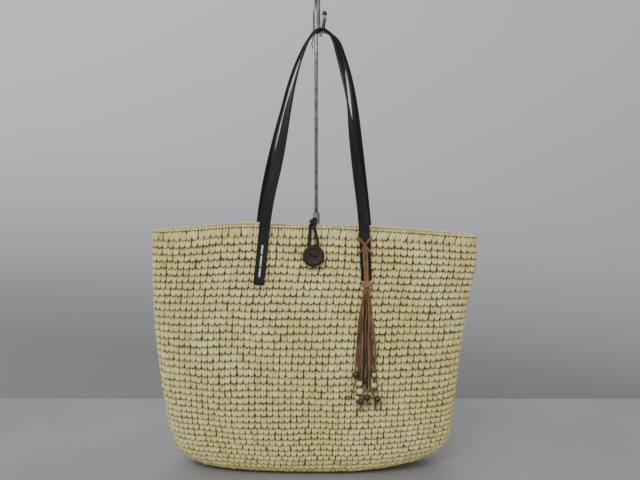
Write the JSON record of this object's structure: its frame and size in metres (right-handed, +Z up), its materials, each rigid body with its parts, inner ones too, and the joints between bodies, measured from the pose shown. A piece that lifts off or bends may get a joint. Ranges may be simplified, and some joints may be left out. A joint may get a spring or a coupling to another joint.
{
  "type": "straw basket bag on a hook stand",
  "caption": "Crocheted straw tote bag with two leather straps, button and cord loop, and a beaded suede tassel, hung by its straps on a plain hook stand.",
  "frame": {"origin": "middle of the flat patch under the bag's base, on the surface that it stands on", "axes": "+Z up, +X to the right as seen from the front, -Y out of the bag's front"},
  "size_m": [0.4603, 0.2208, 0.6802],
  "materials": {
    "straw": "crocheted paper straw, matt with soft highlights",
    "straw_edge": "straw chain stitches, matt",
    "strap_leather": "smooth black leather, satin",
    "button": "dark stained, matt",
    "thread": "dark waxed thread",
    "loop_cord": "round cord, matt",
    "suede": "brown suede laces",
    "bead_dark": "turned, polished",
    "bead_cream": "turned, satin",
    "foot_steel": "satin grey",
    "stand_chrome": "bright chrome",
    "catch_steel": "dark spring steel",
    "tip_rubber": "matt"
  },
  "bodies": {
    "root": {"basket_body": "straw", "rim_edging": "straw_edge", "strap_front": "strap_leather", "strap_back": "strap_leather", "button": "button", "button_thread": "thread", "closure_loop": "loop_cord", "tassel": "suede", "bead_dark_1": "bead_dark", "bead_dark_2": "bead_dark", "bead_dark_3": "bead_dark", "bead_dark_4": "bead_dark", "bead_dark_5": "bead_dark", "bead_cream_1": "bead_cream", "bead_cream_2": "bead_cream", "bead_cream_3": "bead_cream", "bead_cream_4": "bead_cream", "bead_cream_5": "bead_cream", "stand_foot": "foot_steel", "stand_tube": "stand_chrome", "stand_rod": "stand_chrome", "stand_catch": "catch_steel", "stand_tip": "tip_rubber"}
  },
  "joints": []
}
